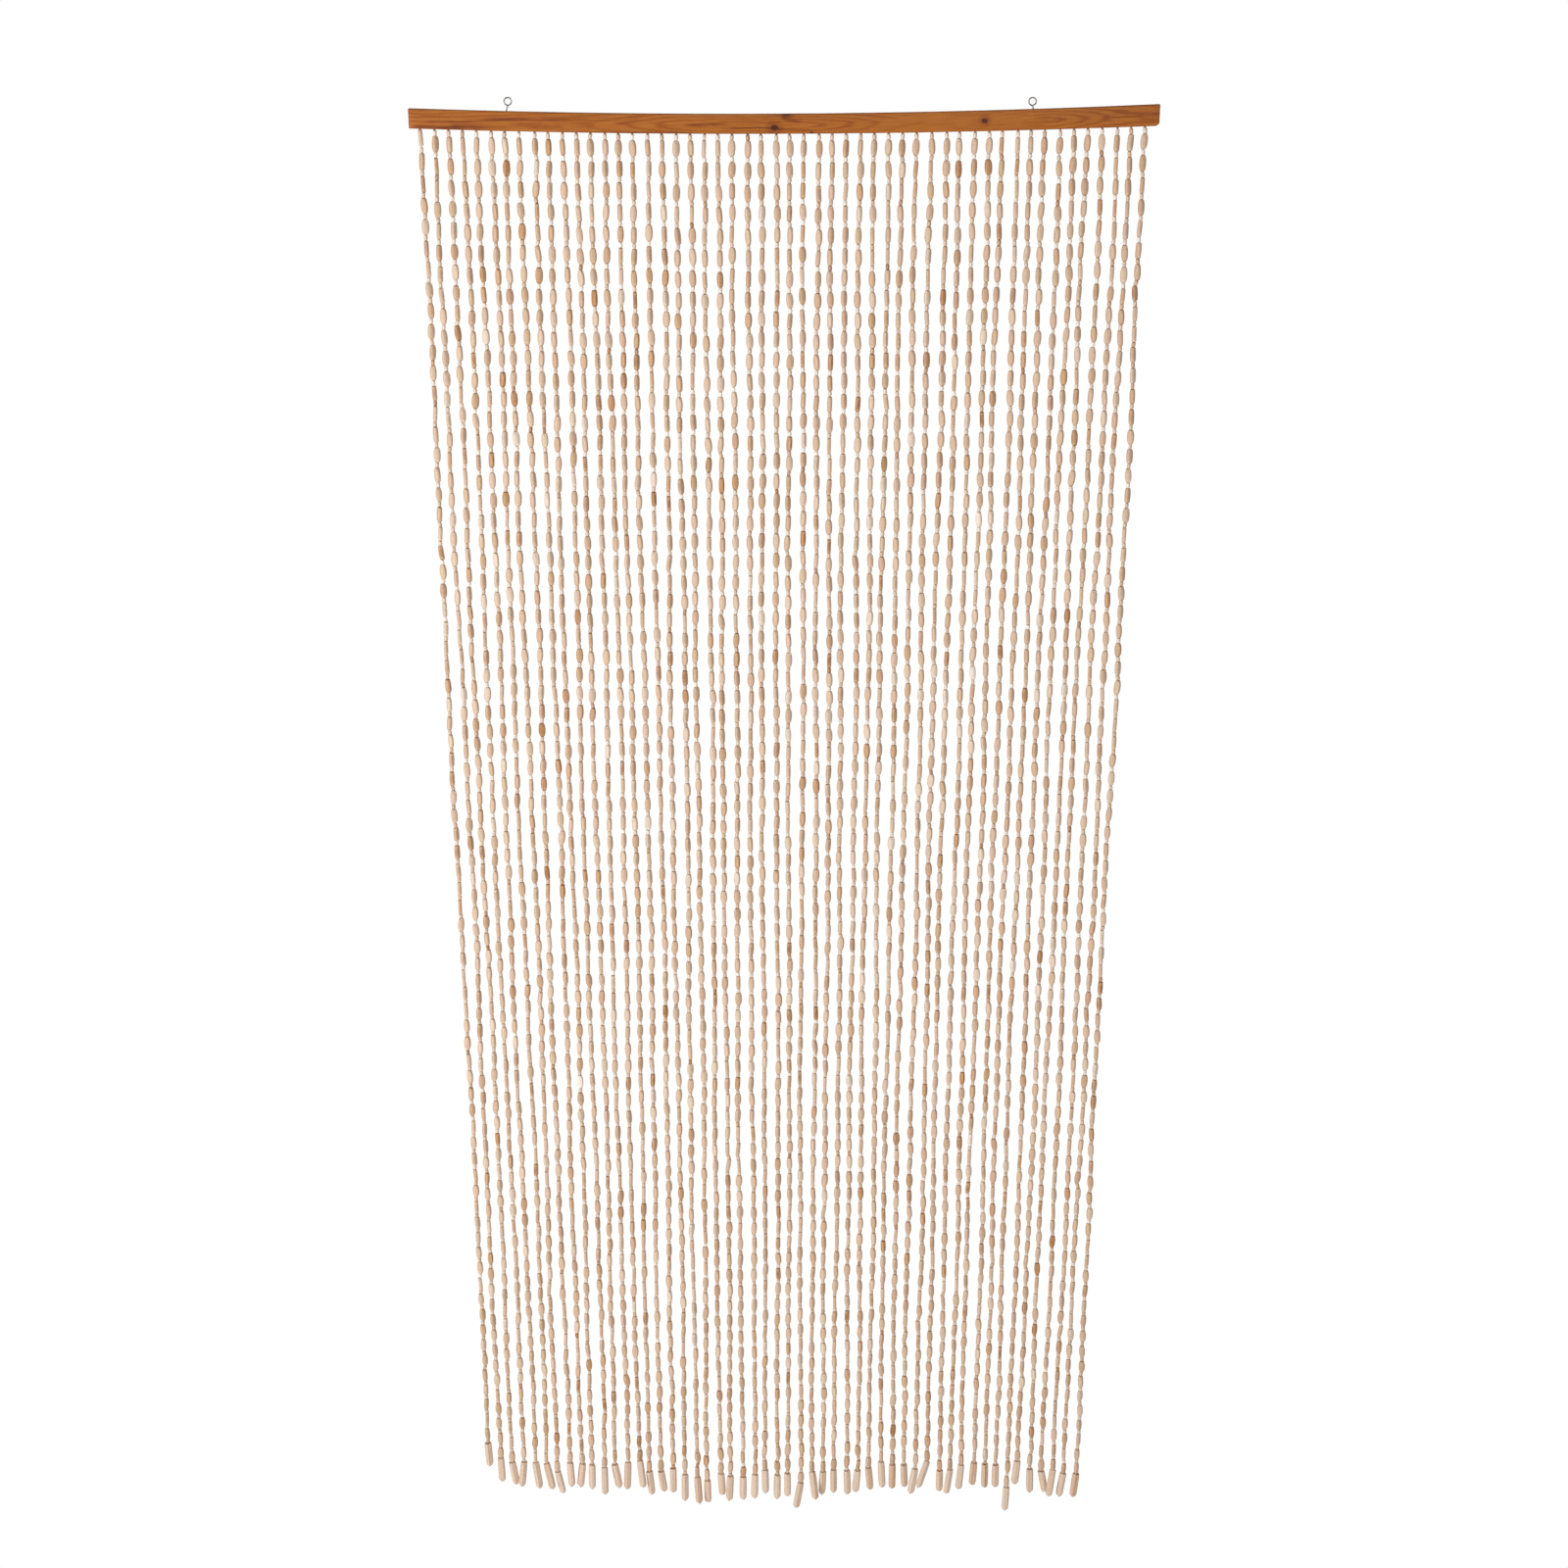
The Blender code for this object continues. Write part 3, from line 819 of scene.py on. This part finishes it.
def round_bead():
    bm = bmesh.new()
    bmesh.ops.create_cone(
        bm,
        cap_ends=True,
        segments=ROUND_BEAD_SIDES,
        radius1=ROUND_BEAD_WIDTH / 2,
        radius2=ROUND_BEAD_WIDTH / 2,
        depth=ROUND_BEAD_LENGTH,
    )
    cut_rings(bm, ROUND_BEAD_RINGS, lambda ring: ring.along * ROUND_BEAD_LENGTH / 2)
    bm.normal_update()
    ends = end_faces(bm)
    bmesh.ops.inset_individual(bm, faces=ends, thickness=ROUND_BEAD_RIM, depth=-ROUND_BEAD_HOLE_DEPTH)
    return bead_template("round bead", bm, 1, TURNED_DEG)


def drop_bead(strand):
    """A long drop with its hole, a little uneven, and cut off aslant at its foot on some strands."""
    bm = chamfered_blank(DROP_WIDTH, DROP_THICKNESS, DROP_LENGTH, DROP_CHAMFER, 1)
    cut_rings(bm, DROP_RINGS, lambda ring: (0.5 - ring.along) * DROP_LENGTH)
    bm.normal_update()
    top = max(bm.faces, key=lambda face: face.calc_center_median().z)
    bmesh.ops.inset_individual(bm, faces=[top], thickness=DROP_HOLE_RIM, depth=0)
    bmesh.ops.inset_individual(bm, faces=[top], thickness=0.1 * MM, depth=-DROP_HOLE_DEPTH)
    slant = SLANTED_DROPS.get(strand, 0.0)
    for vert in bm.verts:
        low = max(0.0, -vert.co.z / DROP_LENGTH * 2 - 0.6)
        vert.co.z += slant * low * (DROP_WIDTH / 2 - vert.co.x)
        vert.co += DROP_UNEVENNESS * noise.noise_vector(vert.co * 150 + Vector((strand, 0, 0)))
    return bead_template("drop", bm, 2, FACETED_DEG)


def draw_tube(bm, route, radius, sides):
    """Draw a closed tube of one thickness along a route."""
    aim = (route[1] - route[0]).normalized()
    turn = Vector((0, 0, 1)).rotation_difference(aim).to_matrix().to_4x4()
    start = Matrix.Translation(route[0]) @ turn
    ring = bmesh.ops.create_circle(bm, cap_ends=True, segments=sides, radius=radius, matrix=start)["verts"]
    face = ring[0].link_faces[0]
    rim = face.edges[:]
    for here, there, after in zip(route, route[1:], route[2:] + route[-1:]):
        face = bmesh.ops.extrude_discrete_faces(bm, faces=[face])["faces"][0]
        next_aim = (after - here).normalized()
        swing = aim.rotation_difference(next_aim)
        for vert in face.verts:
            vert.co = there + swing @ (vert.co - here)
        aim = next_aim
    open_rim = [edge for edge in rim if edge.is_valid and edge.is_boundary]
    if open_rim:
        bmesh.ops.holes_fill(bm, edges=open_rim)


def add_ball(bm, place, radius, stretch=1.0):
    shape = Matrix.Translation(place) @ Matrix.Diagonal((1, 1, stretch, 1))
    bmesh.ops.create_icosphere(bm, subdivisions=2, radius=radius, matrix=shape)


# Rail and eyes


def roughen(verts):
    """Make a planed surface slightly uneven."""
    for vert in verts:
        vert.co.z += RAIL_UNEVENNESS * noise.noise(Vector((vert.co.x * 30, vert.co.y * 200, 0)))
        vert.co.y += RAIL_UNEVENNESS * noise.noise(Vector((vert.co.x * 25, 5, vert.co.z * 90)))


def knock_corner(bm):
    """Slice off the lower right corner, which has been knocked."""
    corner = Vector((RAIL_LENGTH / 2, 0, -RAIL_DEPTH + KNOCKED_CORNER_HEIGHT))
    outward = Vector((KNOCKED_CORNER_HEIGHT, 0, -KNOCKED_CORNER_LENGTH)).normalized()
    sliced = bmesh.ops.bisect_plane(
        bm, geom=everything(bm), plane_co=corner, plane_no=outward, clear_outer=True
    )
    rim = [item for item in sliced["geom_cut"] if isinstance(item, bmesh.types.BMEdge)]
    bmesh.ops.holes_fill(bm, edges=rim)


def sink_groove(bm):
    """Sink the groove that holds the strands' ends into the rail's underside."""
    ends = (strand_x(1) - GROOVE_END_MARGIN, strand_x(STRANDS) + GROOVE_END_MARGIN)
    for side in (-GROOVE_WIDTH / 2, GROOVE_WIDTH / 2):
        bmesh.ops.bisect_plane(bm, geom=everything(bm), dist=1e-7, plane_co=(0, side, 0), plane_no=(0, 1, 0))
    for end in ends:
        bmesh.ops.bisect_plane(bm, geom=everything(bm), dist=1e-7, plane_co=(end, 0, 0), plane_no=(1, 0, 0))
    bm.normal_update()
    floor = []
    for face in bm.faces:
        middle = face.calc_center_median()
        inside = abs(middle.y) < GROOVE_WIDTH / 2 and ends[0] < middle.x < ends[1]
        if face.normal.z < -0.9 and inside:
            floor.append(face)
    sunk = bmesh.ops.extrude_face_region(bm, geom=floor)["geom"]
    sunk_verts = [item for item in sunk if isinstance(item, bmesh.types.BMVert)]
    bmesh.ops.translate(bm, verts=sunk_verts, vec=(0, 0, GROOVE_DEPTH))
    bmesh.ops.delete(bm, geom=floor, context="FACES")


def make_rail(finish):
    bm = bmesh.new()
    middle = Matrix.Translation((0, 0, -RAIL_DEPTH / 2))
    size = Matrix.Diagonal((RAIL_LENGTH, RAIL_THICKNESS, RAIL_DEPTH, 1))
    bmesh.ops.create_cube(bm, size=1, matrix=middle @ size)
    for step in range(1, RAIL_STEPS):
        plane = ((step / RAIL_STEPS - 0.5) * RAIL_LENGTH, 0, 0)
        bmesh.ops.bisect_plane(bm, geom=everything(bm), dist=1e-6, plane_co=plane, plane_no=(1, 0, 0))
    square = [edge for edge in bm.edges if edge.calc_face_angle() > math.radians(SQUARE_EDGE_DEG)]
    bmesh.ops.bevel(
        bm,
        geom=square,
        offset=RAIL_EDGE_ROUNDING,
        segments=RAIL_EDGE_SEGMENTS,
        profile=0.5,
        affect="EDGES",
        material=-1,
    )
    knock_corner(bm)
    roughen(bm.verts)
    sink_groove(bm)
    mesh = mesh_from("rail", bm, [finish], RAIL_SMOOTH_DEG)
    keep_place(mesh, "straight_place")
    follow_bow(mesh.vertices)
    add_piece("rail", mesh, "varnished_pine", "headrail")


def smooth_route(points, steps):
    """Read a Catmull-Rom curve through the points."""
    padded = [2 * points[0] - points[1], *points, 2 * points[-1] - points[-2]]
    route = []
    for before, start, stop, after in zip(padded, padded[1:], padded[2:], padded[3:]):
        for step in range(steps):
            t = step / steps
            linear = (stop - before) * t
            square = (2 * before - 5 * start + 4 * stop - after) * t**2
            cube = (3 * start - before - 3 * stop + after) * t**3
            route.append(start + (linear + square + cube) / 2)
    route.append(points[-1])
    return route


def eye_route(eye):
    """The wire's middle line, from the buried end up the neck and round the loop."""
    wood = rail_top(eye.shank_x)
    centre_z = WIRE_RADIUS - LOOP_RADIUS
    neck_z = centre_z - LOOP_RADIUS - LOOP_POINT
    points = [
        Vector((eye.shank_x, 0, wood - SHANK_BURIED)),
        Vector((eye.shank_x, 0, wood - SHANK_BURIED / 2)),
        Vector((eye.shank_x, 0, wood)),
        Vector((eye.loop_x, 0, neck_z)),
    ]
    for step in range(LOOP_STEPS + 1):
        turn = math.radians(LOOP_START_DEG + (LOOP_END_DEG - LOOP_START_DEG) * step / LOOP_STEPS)
        points.append(
            Vector((eye.loop_x + LOOP_RADIUS * math.sin(turn), 0, centre_z - LOOP_RADIUS * math.cos(turn)))
        )
    points.append(Vector((eye.loop_x - LOOP_END_ASIDE, LOOP_END_BACK, neck_z + LOOP_END_ASIDE)))
    return smooth_route(points, WIRE_CURVE_STEPS)


def make_eye(eye, finish):
    bm = bmesh.new()
    draw_tube(bm, eye_route(eye), WIRE_RADIUS, WIRE_SIDES)
    mesh = mesh_from(eye.name, bm, [finish], WIRE_SMOOTH_DEG)
    add_piece(eye.name.replace("screw", "wire"), mesh, "zinc_wire", eye.name)


# Strands


def bead_kinds(strand, span):
    """A strand's beads from the top: a round and a long one in turn, as many as fill the span."""
    pair = LONG_BEAD_LENGTH + ROUND_BEAD_LENGTH
    extra = ROUND_BEAD_LENGTH if strand in ENDS_ROUND else 0.0
    kinds = ["round", "long"] * round((span - extra) / pair)
    if strand in STARTS_LONG:
        kinds = kinds[1:]
    if strand in ENDS_ROUND:
        kinds.append("round")
    return kinds


def bead_lengths(kinds, span, luck):
    nominal = {"long": LONG_BEAD_LENGTH, "round": ROUND_BEAD_LENGTH}
    lengths = [nominal[kind] * (1 + LENGTH_SPREAD * luck.uniform(-1, 1)) for kind in kinds]
    fit = span / sum(lengths)
    return [length * fit for length in lengths]


def slack_at(strand, z, luck):
    """How far the thread strays from its strand's middle line between two beads."""
    reach = KINK_SLACK if luck.random() < KINK_CHANCE else THREADING_SLACK
    aside = Vector((luck.uniform(-1, 1), luck.uniform(-1, 1), 0)) * reach
    for kink in KINKS:
        if kink.strand == strand and abs(kink.z - z) < LONG_BEAD_LENGTH / 2:
            aside.x = kink.aside
    return aside


def bead_matrix(top, foot, turn, width, thickness, length):
    aim = top - foot
    tilt = Vector((0, 0, 1)).rotation_difference(aim).to_matrix().to_4x4()
    size = Matrix.Diagonal((width, thickness, aim.length / length * BEAD_GAP_SHARE, 1))
    return Matrix.Translation((top + foot) / 2) @ tilt @ Matrix.Rotation(turn, 4, "Z") @ size


def lay_bead(bm, template, matrix, tone, marks=(0, 0, 0)):
    """Put a moved and toned copy of a bead into a strand."""
    bead = template.copy()
    bead.transform(matrix)
    paint(bead, "bead_tone", tone)
    paint(bead, "drop_marks", marks)
    bm.from_mesh(bead)
    bpy.data.meshes.remove(bead)


def within(limits, value):
    return min(limits[1], max(limits[0], value))


def long_tone(luck, down):
    """Most long beads are beige or tan, with painted light making them palest half way down, and one in seven
    is orange-brown.
    """
    if luck.random() < ORANGE_LONG_CHANCE:
        return luck.uniform(*ORANGE_LONG_TONE)
    # Painted light: paler half way down the curtain
    tone = luck.gauss(LONG_TONE + PAINTED_LIGHT_HALF_WAY * down * (1 - down), LONG_TONE_SPREAD)
    return within(LONG_TONE_LIMITS, tone)


def round_tone(luck, down):
    """Most round beads are beige, paler near the rail than at the hem, and one in thirty is dark brown."""
    if luck.random() < DARK_ROUND_CHANCE:
        return DARK_ROUND_TONE
    return within(ROUND_TONE_LIMITS, luck.gauss(ROUND_TONE - DARKER_AT_HEM * down, ROUND_TONE_SPREAD))


def lay_beads(bm, templates, tops, feet, kinds, luck):
    for kind, top, foot in zip(kinds, tops, feet):
        down = top.z / HEM[0].tip_z
        turn = luck.uniform(0, math.tau)
        seed = luck.random()
        pinkness = luck.random() * MOST_PINKNESS
        if kind == "long":
            width = 1 + WIDTH_SPREAD * luck.uniform(-1, 1)
            thickness = 1 + WIDTH_SPREAD * luck.uniform(-1, 1)
            matrix = bead_matrix(top, foot, turn, width, thickness, LONG_BEAD_LENGTH)
            lay_bead(bm, templates["long"], matrix, (long_tone(luck, down), pinkness, seed))
        else:
            girth = 1 + ROUND_SPREAD * luck.uniform(-1, 1) + ROUND_SWELL * down
            matrix = bead_matrix(top, foot, turn, girth, girth, ROUND_BEAD_LENGTH)
            lay_bead(bm, templates["round"], matrix, (round_tone(luck, down), pinkness, seed))


def plain_drop_wood(strand, luck):
    tone = luck.uniform(*DROP_TONE)
    stripe = luck.uniform(-1, 1)
    strength = luck.uniform(*DROP_STRIPE_STRENGTH)
    rim = luck.random() * 0.5
    return DropWood(strand, tone, stripe, strength, rim)


def lay_drop(bm, strand, frame_of_drop, luck):
    wood = row_of(DROP_WOODS, strand) or plain_drop_wood(strand, luck)
    middle = frame_of_drop.top + frame_of_drop.tilt @ Vector((0, 0, -DROP_LENGTH / 2))
    turn = Matrix.Rotation(math.radians(luck.uniform(-DROP_TURN_DEG, DROP_TURN_DEG)), 4, "Z")
    matrix = Matrix.Translation(middle) @ frame_of_drop.tilt.to_4x4() @ turn
    template = drop_bead(strand)
    marks = (wood.stripe, wood.strength, wood.rim)
    lay_bead(bm, template, matrix, (wood.tone, DROP_PINKNESS, luck.random()), marks)
    bpy.data.meshes.remove(template)


def twine_mesh(bm, tone):
    """Twine drawn in a bmesh of its own, in one tone, ready to go into a strand."""
    for face in bm.faces:
        face.material_index = 3
    mesh = mesh_from("twine", bm)
    keep_place(mesh, "bead_place")
    paint(mesh, "bead_tone", (tone, 0, 0))
    paint(mesh, "drop_marks", (0, 0, 0))
    return mesh


def lay_twine(bm, tone, draw):
    part = bmesh.new()
    draw(part)
    mesh = twine_mesh(part, tone)
    bm.from_mesh(mesh)
    bpy.data.meshes.remove(mesh)


def lay_foot_knot(bm, strand, frame_of_drop, luck):
    """Tie the twine off under a drop, and leave an end hanging on some strands."""
    tip = frame_of_drop.top + frame_of_drop.tilt @ Vector((0, 0, -DROP_LENGTH))
    radius = FOOT_KNOT_RADIUS * luck.uniform(0.7, 1)
    tone = luck.uniform(*FOOT_KNOT_TONE)
    if strand in DARK_FOOT_KNOTS:
        tone = DARK_KNOT_TONE
        radius = BIG_FOOT_KNOT_RADIUS
    if strand in PALE_FOOT_KNOTS:
        tone = PALE_KNOT_TONE
        radius = BIG_FOOT_KNOT_RADIUS
    place = tip + Vector((luck.uniform(-0.5, 0.5) * MM, 0, -FOOT_KNOT_DROP))
    lay_twine(bm, tone, lambda part: add_ball(part, place, radius, 0.9))
    for end in range(THREAD_ENDS.get(strand, 0)):
        side = Vector((luck.uniform(-1, 1) + 1.6 * end, luck.uniform(-1, 1), 0)) * MM
        foot = tip + side + Vector((0, 0, -THREAD_END_LENGTH))
        route = [tip, (tip + foot) / 2 + side * 0.3, foot]
        lay_twine(bm, THREAD_END_TONE, lambda part: draw_tube(part, route, THREAD_RADIUS, THREAD_END_SIDES))


def make_strand(strand, templates, finishes):
    luck = random.Random(BEAD_SEED + strand)
    root = Vector((strand_x(strand), 0, rail_bottom(strand_x(strand))))
    drop = drop_frame(strand)
    gaps = {gap.after: gap.size for gap in THREAD_GAPS if gap.strand == strand}
    first_z = root.z - WIDE_TOP_GAPS.get(strand, TOP_GAP)
    span = first_z - drop.top.z - sum(gaps.values())
    kinds = bead_kinds(strand, span)
    tops = []
    feet = []
    top = Vector((root.x, 0, first_z))
    for number, length in enumerate(bead_lengths(kinds, span, luck), start=1):
        foot_z = top.z - length
        foot = strand_centre(strand, foot_z) + slack_at(strand, foot_z, luck)
        if number == len(kinds):
            foot = drop.top.copy()
        tops.append(top)
        feet.append(foot)
        top = foot - Vector((0, 0, gaps.get(number, 0.0)))
    bm = bmesh.new()
    lay_beads(bm, templates, tops, feet, kinds, luck)
    lay_drop(bm, strand, drop, luck)
    inside = Vector((root.x, 0, root.z + GROOVE_DEPTH / 2))
    route = [inside, root, *tops, feet[-1]]
    lay_twine(bm, THREAD_TONE, lambda part: draw_tube(part, route, THREAD_RADIUS, THREAD_SIDES))
    knot = root - Vector((0, 0, TOP_GAP / 2))
    # Dark knot tone: partly the twine's own, partly painted shadow under the rail
    lay_twine(bm, luck.uniform(*TOP_KNOT_AND_RAIL_SHADOW_TONE), lambda part: add_ball(part, knot, TOP_KNOT_RADIUS, 0.55))
    lay_foot_knot(bm, strand, drop, luck)
    mesh = bpy.data.meshes.new("strand")
    bm.to_mesh(mesh)
    bm.free()
    add_finishes(mesh, finishes)
    add_piece(f"strand_{strand:02d}", mesh, "bare_wood_beads", "bead_strands")


def make_tie_cord(finishes):
    """The cord in the rail's groove that the strands are knotted to."""
    ends = (strand_x(1) - GROOVE_END_MARGIN / 2, strand_x(STRANDS) + GROOVE_END_MARGIN / 2)
    route = []
    for step in range(STRANDS):
        x = ends[0] + (ends[1] - ends[0]) * step / (STRANDS - 1)
        route.append(Vector((x, 0, rail_bottom(x) + GROOVE_DEPTH * 0.55)))
    bm = bmesh.new()
    draw_tube(bm, route, TIE_CORD_RADIUS, TIE_CORD_SIDES)
    mesh = twine_mesh(bm, TIE_CORD_TONE)
    add_finishes(mesh, finishes)
    add_piece("tie_cord", mesh, "bare_wood_beads", "bead_strands")


# Studio


def add_area_light(lamp):
    light = bpy.data.lights.new(lamp.name, "AREA")
    light.size = lamp.size
    light.energy = lamp.power
    holder = bpy.data.objects.new(lamp.name, light)
    holder.location = lamp.place
    holder.rotation_euler = (LIT_POINT - holder.location).to_track_quat("-Z", "Y").to_euler()
    holder.visible_camera = False
    bpy.context.scene.collection.objects.link(holder)


def make_world():
    """White all round, dimmer as a light than it looks to the camera."""
    world = bpy.data.worlds.new("white studio")
    world.use_nodes = True
    nodes = world.node_tree.nodes
    links = world.node_tree.links
    glow = nodes["Background"]
    glow.inputs["Color"].default_value = (1, 1, 1, 1)
    path = nodes.new("ShaderNodeLightPath")
    strength = nodes.new("ShaderNodeMapRange")
    strength.inputs["To Min"].default_value = WORLD_GLOW
    strength.inputs["To Max"].default_value = 1.0
    links.new(path.outputs["Is Camera Ray"], strength.inputs["Value"])
    links.new(strength.outputs["Result"], glow.inputs["Strength"])
    bpy.context.scene.world = world


def make_studio():
    bm = bmesh.new()
    place = Matrix.Translation((0, 0, FLOOR_Z))
    bmesh.ops.create_circle(bm, cap_ends=True, segments=64, radius=FLOOR_RADIUS, matrix=place)
    floor = bpy.data.objects.new("floor", mesh_from("floor", bm, [pale_floor()]))
    bpy.context.scene.collection.objects.link(floor)
    make_world()
    for lamp in LAMPS:
        add_area_light(lamp)
    bpy.context.scene.view_settings.view_transform = "Standard"


def make_camera():
    lens = bpy.data.cameras.new("camera")
    lens.lens = CAMERA_LENS_MM
    camera = bpy.data.objects.new("camera", lens)
    camera.location = CAMERA_PLACE
    camera.rotation_euler = (math.radians(CAMERA_PITCH_DEG), 0, 0)
    bpy.context.scene.collection.objects.link(camera)
    bpy.context.scene.camera = camera


# The curtain


def build_curtain():
    noise.seed_set(NOISE_SEED)
    finishes = [long_bead_wood(), round_bead_wood(), drop_wood(), knotted_thread()]
    wire = zinc_wire()
    make_rail(varnished_pine())
    for eye in EYES:
        make_eye(eye, wire)
    make_tie_cord(finishes)
    templates = {"long": long_bead(), "round": round_bead()}
    for strand in range(1, STRANDS + 1):
        make_strand(strand, templates, finishes)


make_camera()
make_studio()
build_curtain()
